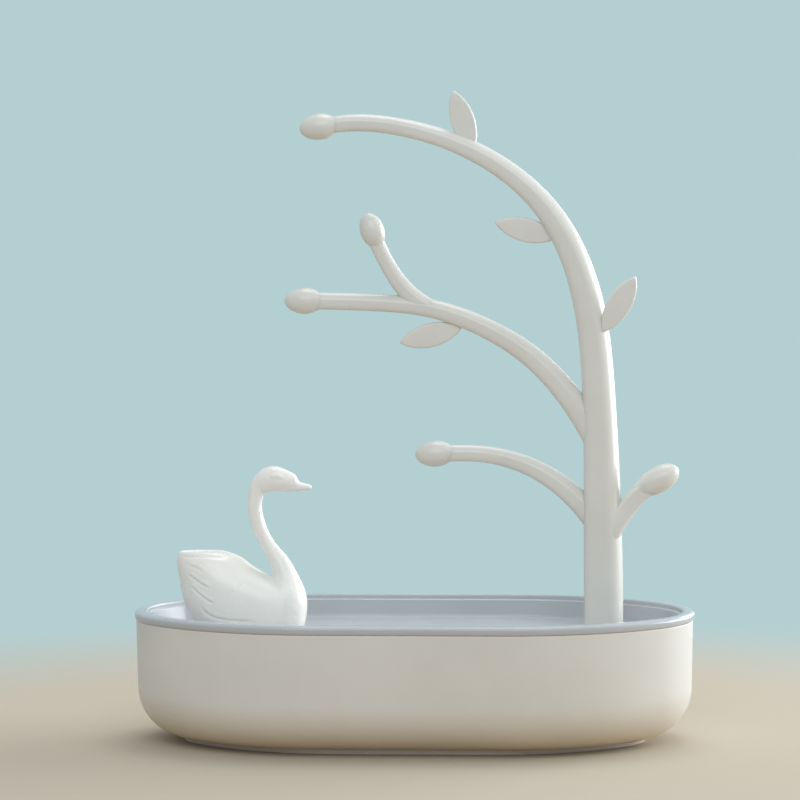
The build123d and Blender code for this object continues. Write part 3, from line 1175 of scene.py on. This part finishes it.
    def leaf_rings(self, line: CentreLine, place: LeafPlace) -> np.ndarray:
        """Rings of a leaf: a pointed oval blade with rounded edges and tips.

        Args:
            line: the line of the bough that carries it.
            place: where it stands.

        Returns:
            The rings, from root to tip.
        """
        x, z = line.spot_at(place.reach)
        start = np.array((x, 0.0, z)) + place.offset
        angle = math.radians(place.direction)
        ahead = np.array((math.cos(angle), 0.0, math.sin(angle)))
        across = np.array((-math.sin(angle), 0.0, math.cos(angle)))
        half_length, half_width = self.leaf_length / 2, self.leaf_width / 2
        sweep = (half_length**2 + half_width**2) / (2 * half_width)
        ends = arc((0.0, 0.0), 1.0, -90, 90, steps=12)
        rings = []
        last = math.pi / 2 - NEAR_TIP
        for share in np.sin(np.linspace(-last, last, num=60)):
            along = share * half_length
            blade = math.sqrt(sweep**2 - along**2) - (sweep - half_width)
            blade = max(blade, 0.0) + self.leaf_tip * math.sqrt(1 - share**2)
            blade *= half_width / (half_width + self.leaf_tip)
            # Near its tips the blade is no thicker than it is wide
            thick = min(self.leaf_thickness / 2, 0.8 * blade)
            middle = start + ahead * (half_length + along)
            rings.append(
                [
                    middle + way * ((blade - thick + x * thick) * across + y * thick * ACROSS)
                    for way in (1, -1)
                    for x, y in ends
                ]
            )
        return np.array(rings)


@dataclass(frozen=True)
class Crease:
    """A line pressed into the swan's flanks, or raised from them.

    Attributes:
        path: X and Z of its points.
        width: half width of the line.
        depth: how deep it goes; below zero it is raised.
        lip: height of the soft lip above the line.
    """

    path: tuple[Station, ...]
    width: float
    depth: float
    lip: float = 0.0

    def push(self, spots: np.ndarray) -> np.ndarray:
        """How far the line moves each spot of a flank outwards.

        Args:
            spots: X and Z of the spots.

        Returns:
            The move of each spot, zero away from the line.
        """
        path = CentreLine(self.path).evenly(number=90)
        reach = 4 * self.width
        inside = (spots > path.min(axis=0) - reach) & (spots < path.max(axis=0) + reach)
        near = np.flatnonzero(inside.all(axis=1))
        offsets = spots[near, None] - path
        gaps = np.linalg.norm(offsets, axis=2)
        nearest = np.argmin(gaps, axis=1)
        rows = np.arange(len(near))
        gap, above = gaps[rows, nearest], np.sign(offsets[rows, nearest, 1])
        # The line fades over a sixth of its length at each end
        share = nearest / (len(path) - 1)
        fade = np.clip(np.minimum(share, 1 - share) * 6, 0.0, 1.0)
        groove = -self.depth * np.exp(-((gap / self.width) ** 2))
        lip = self.lip * np.exp(-(((gap * above - 2 * self.width) / (1.4 * self.width)) ** 2))
        push = np.zeros(len(spots))
        push[near] = fade**2 * (3 - 2 * fade) * (groove + lip)
        return push


@dataclass
class Swan:
    """White swan: body with folded wings, neck, head and beak.

    Attributes:
        peg: the plug below its foot.
        foot: X and Z of its foot.
        body: height, centre, half length and half depth of the body's level ovals.
        neck_start: run of the neck's first station from the foot.
        neck: stations of breast and neck.
        head: X, bottom, top and half width of the head's and the beak's upright ovals.
        hollow: X, bottom, top and half width of the hollow's upright ovals.
        least_oval: least half width and least height of an upright oval.
        voxel: grain of the joined mesh.
        creases: the lines on its flanks.
    """

    peg: Plug = SWAN_PLUG
    foot: Station = (SWAN_PLUG.x, FLOOR_TOP)
    body: tuple[Station, ...] = (
        (0.0, -0.2, 18.7, 10.5), (8.0, -2.8, 22.7, 13.2), (15.0, -5.2, 23.0, 13.4),
        (21.0, -10.1, 19.1, 12.4), (26.0, -15.0, 15.0, 10.6), (29.7, -17.3, 12.7, 8.8),
        (31.9, -19.7, 9.5, 6.8),
    )
    neck_start: float = 10.8
    neck: tuple[Station, ...] = (
        (-0.9, 0.0, 17.6, 17.0), (0.6, 10.0, 19.6, 20.0), (1.6, 18.0, 15.0, 16.0),
        (1.3, 23.0, 9.7, 10.6), (0.1, 26.5, 8.0, 8.8), (-4.1, 33.2, 5.7, 6.4),
        (-8.6, 41.8, 5.7, 5.9), (-10.1, 49.0, 5.6, 5.8), (-9.6, 54.6, 6.2, 6.2),
        (-7.4, 59.0, 7.4, 7.0), (-4.8, 60.6, 8.0, 7.4),
    )
    head: tuple[Station, ...] = (
        (-64.0, 98.6, 99.6, 0.6), (-63.0, 96.6, 102.0, 2.3), (-61.5, 96.0, 104.3, 3.2),
        (-59.5, 96.4, 106.2, 3.9), (-57.0, 97.1, 107.3, 4.3), (-54.5, 97.4, 107.5, 4.4),
        (-52.0, 97.4, 106.9, 4.1), (-49.5, 97.4, 105.8, 3.6), (-47.4, 97.5, 104.8, 3.1),
        (-46.0, 97.5, 103.5, 2.6), (-45.1, 97.6, 101.7, 2.1), (-43.8, 97.7, 101.0, 1.9),
        (-42.0, 97.9, 100.6, 1.7), (-40.5, 98.2, 100.1, 1.4), (-39.8, 98.6, 99.7, 0.8),
    )
    hollow: tuple[Station, ...] = (
        (-91.6, 73.2, 75.2, 0.5), (-89.6, 71.8, 78.0, 2.6), (-85.5, 70.0, 81.0, 4.1),
        (-80.0, 69.0, 82.0, 4.5), (-74.5, 68.8, 80.5, 4.3), (-69.5, 67.8, 77.0, 3.8),
        (-64.8, 66.0, 72.5, 3.2), (-60.4, 63.9, 68.4, 2.2), (-57.8, 63.0, 66.0, 0.8),
    )
    least_oval: Station = (0.2, 0.3)
    voxel: float = 0.34
    creases: tuple[Crease, ...] = (
        # Lower border of the wing's rolled upper edge
        Crease(((-91.2, 72.1), (-85.0, 72.4), (-79.0, 72.4), (-72.5, 71.6)), 0.6, 0.22, 0.08),
        # A faint groove, and two that part the three feathers at the wing's end
        Crease(((-88.0, 69.3), (-84.6, 68.3), (-81.0, 66.2)), 0.5, 0.14, 0.12),
        Crease(((-88.0, 65.6), (-85.0, 63.7), (-82.6, 62.2), (-79.0, 60.6)), 0.5, 0.38, 0.2),
        Crease(((-87.0, 61.2), (-84.1, 58.7), (-81.2, 56.5), (-77.2, 54.6)), 0.5, 0.38, 0.2),
        # Lower border of the wing
        Crease(
            ((-83.0, 54.9), (-82.2, 52.4), (-80.6, 50.6), (-78.0, 49.2), (-74.3, 48.3),
             (-68.7, 47.8), (-60.0, 47.4)),
            0.6, 0.34, 0.12,
        ),
        # Soft ridge that runs from the cheek down the neck over the breast
        Crease(
            ((-60.0, 95.0), (-60.8, 91.0), (-60.3, 85.7), (-58.7, 79.2), (-55.6, 73.6),
             (-52.4, 68.5), (-49.9, 63.8), (-48.2, 59.6), (-47.3, 54.0)),
            1.2, -0.2,
        ),
        # Soft valley between the wing's front and the neck's root
        Crease(((-55.8, 64.8), (-54.4, 61.9), (-53.5, 57.6)), 1.2, 0.1),
        # Beak's root, mouth and brow
        Crease(((-45.2, 101.8), (-46.2, 99.9), (-46.0, 98.0)), 0.4, 0.14),
        Crease(((-59.6, 99.6), (-56.0, 99.3), (-50.0, 99.6), (-45.0, 99.4)), 0.4, 0.1),
        Crease(((-56.0, 103.2), (-53.6, 104.0), (-50.8, 102.9)), 0.75, -0.4),
    )

    def build(self, finish: bpy.types.Material) -> None:
        """Makes the swan from joined forms, cuts its hollow and presses its lines.

        Args:
            finish: the swan's material.
        """
        x, z = self.foot
        neck = CentreLine(self.neck, (x + self.neck_start, z), upright=True)
        circle = 0.5 * np.array(arc((0.0, 0.0), 1.0, 0, 360, steps=40)[:-1])
        form = Piece("swan_figure")
        form.add_rings(self.body_rings(around=96, number=64))
        form.add_rings(neck.rings(circle, spacing=0.6))
        form.add_rings(self.upright_rings(self.head, around=48, number=90))
        form.add_rings(self.peg.rings(z - self.peg.length, z + 2 * OVERLAP))
        halves = ["swan_near_half", "swan_far_half"]
        made = form.place(finish, Body.SWAN, Slot.GLOSS_WHITE, halves, NO_CREASE)
        self.add_skin(made, times=5)
        bowl = Piece("hollow")
        bowl.add_rings(self.upright_rings(self.hollow, around=64, number=60))
        bowl.combine(made, Merge.CUT)
        self.add_skin(made, times=4)
        self.press(made)
        settle(made, NO_CREASE)
        LOG.info("%s: %d faces joined", made.name, len(made.data.polygons))

    def body_rings(self, around: int, number: int) -> np.ndarray:
        """Rings of the body, level ovals with a smooth rise.

        Args:
            around: points on each ring.
            number: rings to return.

        Returns:
            The rings.
        """
        x, z = self.foot
        rise = CentreLine([(0.0, *station) for station in self.body], (0.0, z))
        turns = full_turn(around)
        rings = [
            [x + centre + length * np.cos(turns), depth * np.sin(turns), np.full(around, height)]
            for _, height, centre, length, depth in rise.evenly(number)
        ]
        return np.transpose(rings, (0, 2, 1))

    def upright_rings(self, stations: Sequence[Station], around: int, number: int) -> np.ndarray:
        """Rings of upright ovals with a smooth run along X.

        Args:
            stations: X, bottom, top and half width of the ovals.
            around: points on each ring.
            number: rings to return.

        Returns:
            The rings.
        """
        run = CentreLine([(x, (low + top) / 2, top - low, half) for x, low, top, half in stations])
        turns = full_turn(around)
        thin, flat = self.least_oval
        rings = [
            [
                np.full(around, x),
                max(half, thin) * np.cos(turns),
                middle + max(tall, flat) / 2 * np.sin(turns),
            ]
            for x, middle, tall, half in run.evenly(number)
        ]
        return np.transpose(rings, (0, 2, 1))

    def add_skin(self, made: bpy.types.Object, times: int) -> None:
        """Makes one even skin over the swan's forms, with its edges rounded.

        Args:
            made: the swan.
            times: how often each point moves to the middle of its neighbours.
        """
        skin = made.modifiers.new("skin", "REMESH")
        skin.mode = "VOXEL"
        skin.voxel_size = self.voxel * MM
        rounding = made.modifiers.new("rounding", "SMOOTH")
        rounding.factor = 0.5
        rounding.iterations = times
        apply_modifiers(made)

    def press(self, made: bpy.types.Object) -> None:
        """Presses the creases into both flanks.

        Args:
            made: the swan.
        """
        points = made.data.vertices
        spots, normals = (np.empty(len(points) * 3) for _ in range(2))
        points.foreach_get("co", spots)
        points.foreach_get("normal", normals)
        spots, normals = spots.reshape(-1, 3) / MM, normals.reshape(-1, 3)
        # The creases reach only skin that looks sideways, and fade where it turns away
        flank = np.clip(np.abs(normals[:, 1]) * 3.0 - 0.5, 0.0, 1.0)
        push = flank * sum(crease.push(spots[:, (0, 2)]) for crease in self.creases)
        spots += normals * push[:, None]
        points.foreach_set("co", (spots * MM).ravel())
        made.data.update()


@dataclass(frozen=True)
class Lamp:
    """A soft rectangular light that faces the object.

    Attributes:
        name: its name.
        place: its place, in metres.
        sides: the lengths of its sides, in metres.
        power: its power in watts.
        shade: its colour as sRGB hex.
    """

    name: str
    place: Station
    sides: Station
    power: float
    shade: str

    def build(self, aim: Vector) -> None:
        """Makes the light.

        Args:
            aim: the spot that it faces, in metres.
        """
        lamp = bpy.data.lights.new(self.name, "AREA")
        lamp.shape = "RECTANGLE"
        lamp.size, lamp.size_y = self.sides
        lamp.energy = self.power
        lamp.color = linear(self.shade)[:3]
        made = add_object(self.name, lamp)
        made.location = self.place
        made.rotation_mode = "QUATERNION"
        made.rotation_quaternion = (Vector(self.place) - aim).to_track_quat("Z", "Y")


@dataclass
class Studio:
    """Plain pale studio with the photo's camera.

    Attributes:
        aim: the spot that the camera looks at.
        distance: the camera's distance from it.
        yaw: how far to the right the camera stands, in degrees.
        pitch: how far it looks down, in degrees.
        roll: how far it is rolled, in degrees.
        focal_px: focal length in the photo's pixels.
        photo_px: width of the photo.
        sensor: width of the camera's sensor.
        floor_rings: radii of the round floor's rings of points.
        fade: distances in metres between which the floor fades into the backdrop.
        near: distances in metres between which its warm light fades.
        floor_shade: sRGB hex of the floor where it is seen.
        bounce_shade: sRGB hex of the warm light that it sends up beside the object.
        far_bounce_shade: sRGB hex of the light that it sends up further out.
        backdrop_shade: sRGB hex of the backdrop.
        room_shade: sRGB hex of the light that the room sends back.
        room_level: strength of that light.
        lamps: the lights.
    """

    aim: Station = (-5.212, 0.0, 133.349)
    distance: float = 1153.05
    yaw: float = 2.946
    pitch: float = 2.767
    roll: float = -0.147
    focal_px: float = 2951.9
    photo_px: float = 800.0
    sensor: float = 36.0
    floor_rings: Station = (1.0, 300.0, 3000.0)
    fade: Station = (0.18, 0.42)
    near: Station = (0.13, 0.3)
    floor_shade: str = "#c2b9a8"
    bounce_shade: str = "#c2a67c"
    far_bounce_shade: str = "#bdb9b0"
    backdrop_shade: str = "#b4cfd2"
    room_shade: str = "#ecf2f6"
    room_level: float = 0.6
    lamps: tuple[Lamp, ...] = (
        Lamp("right_window", (1.38, 0.6, 0.44), (1.45, 0.85), 25.0, "#f8fbff"),
        Lamp("back_window", (0.95, 1.35, 0.42), (1.2, 0.8), 5.5, "#f8fbff"),
        Lamp("front_window", (0.1, -1.65, 1.2), (1.7, 1.2), 13.0, "#f5f8ff"),
        Lamp("ceiling_light", (0.1, 0.3, 1.5), (0.7, 0.7), 5.4, "#ffffff"),
    )

    def build(self) -> None:
        """Makes the camera, the stage and the lights."""
        self.camera()
        self.stage()
        self.room()
        for lamp in self.lamps:
            lamp.build(Vector(self.aim) * MM)
        bpy.context.scene.view_settings.view_transform = "Standard"

    def camera(self) -> None:
        """Makes the camera at the photo's view."""
        lens = bpy.data.cameras.new("photo_camera")
        lens.sensor_width = self.sensor
        lens.lens = self.focal_px / self.photo_px * self.sensor
        camera = add_object("photo_camera", lens)
        place = Matrix.Translation(Vector(self.aim) * MM)
        for turn, axis in ((self.yaw, "Z"), (90.0 - self.pitch, "X"), (self.roll, "Z")):
            place = place @ Matrix.Rotation(math.radians(turn), 4, axis)
        camera.matrix_world = place @ Matrix.Translation((0.0, 0.0, self.distance * MM))
        bpy.context.scene.camera = camera

    def stage(self) -> None:
        """Makes the round floor, which fades into the backdrop's colour."""
        turns = full_turn(number=128)
        circle = np.column_stack([np.cos(turns), np.sin(turns), np.zeros(len(turns))])
        piece = Piece("pale_studio_floor")
        piece.add_rings(np.array([radius * circle for radius in self.floor_rings]), cap_end=False)
        floor = piece.make()
        material = bpy.data.materials.new("matt_pale_paint")
        tree = blank_tree(material)
        place = add_node(tree, "ShaderNodeTexCoord").outputs["Object"]
        away = add_node(tree, "ShaderNodeVectorMath", links={"Vector": place}, operation="LENGTH")
        faded, cooled = (
            add_node(
                tree,
                "ShaderNodeMapRange",
                {"From Min": start, "From Max": end},
                {"Value": away.outputs["Value"]},
                interpolation_type="SMOOTHSTEP",
            ).outputs["Result"]
            for start, end in (self.fade, self.near)
        )
        seen = self.seen(tree)
        share = add_node(tree, "ShaderNodeMath", links={0: faded, 1: seen}, operation="MULTIPLY")
        bounce = add_node(
            tree,
            "ShaderNodeMix",
            {"A": linear(self.bounce_shade), "B": linear(self.far_bounce_shade)},
            {"Factor": cooled},
            data_type="RGBA",
        )
        tint = add_node(
            tree,
            "ShaderNodeMix",
            {"B": linear(self.floor_shade)},
            {"A": bounce.outputs["Result"], "Factor": seen},
            data_type="RGBA",
        )
        paint = add_node(tree, "ShaderNodeBsdfDiffuse", links={"Color": tint.outputs["Result"]})
        backdrop = add_node(tree, "ShaderNodeEmission", {"Color": linear(self.backdrop_shade)})
        shaders = {1: paint.outputs["BSDF"], 2: backdrop.outputs["Emission"]}
        mix = add_node(tree, "ShaderNodeMixShader", links={0: share.outputs["Value"], **shaders})
        add_node(tree, "ShaderNodeOutputMaterial", links={"Surface": mix.outputs["Shader"]})
        floor.data.materials.append(material)

    def seen(self, tree: bpy.types.NodeTree) -> bpy.types.NodeSocket:
        """Adds nodes that tell whether a ray comes from the camera or a reflection.

        Args:
            tree: the node tree that gets the nodes.

        Returns:
            The output that is one for such rays.
        """
        path = add_node(tree, "ShaderNodeLightPath")
        seen = path.outputs["Is Camera Ray"]
        for ray in ("Is Glossy Ray", "Is Transmission Ray"):
            links = {0: seen, 1: path.outputs[ray]}
            more = add_node(tree, "ShaderNodeMath", links=links, operation="MAXIMUM")
            seen = more.outputs["Value"]
        return seen

    def room(self) -> None:
        """Makes the room: the backdrop where it is seen, and soft light elsewhere."""
        world = bpy.data.worlds.new("pale_room")
        tree = blank_tree(world)
        light, backdrop = (
            add_node(tree, "ShaderNodeBackground", {"Color": linear(shade), "Strength": level})
            for shade, level in ((self.room_shade, self.room_level), (self.backdrop_shade, 1.0))
        )
        shaders = {1: light.outputs["Background"], 2: backdrop.outputs["Background"]}
        mix = add_node(tree, "ShaderNodeMixShader", links={0: self.seen(tree), **shaders})
        add_node(tree, "ShaderNodeOutputWorld", links={"Surface": mix.outputs["Shader"]})
        bpy.context.scene.world = world


def main() -> None:
    """Builds and dresses every piece, then the studio."""
    logging.basicConfig(level=logging.INFO, format="%(name)s %(message)s")
    glossy_white = GLOSSY_ABS.build()
    satin_white = SATIN_POLYPROPYLENE.build()
    glossy_grey = GLOSSY_GREY_ABS.build()
    # The swan's white is the tree's ABS painted lighter: painted light, not a whiter plastic
    white_painted_lighter = PAINTED_LIGHTER_ABS.build()
    soft_grey = SOFT_ELASTOMER.build()
    StorageBox().build(satin_white, soft_grey)
    LidTray().build(glossy_grey)
    Tree().build(glossy_white)
    Swan().build(white_painted_lighter)
    Studio().build()


if __name__ == "__main__":
    main()
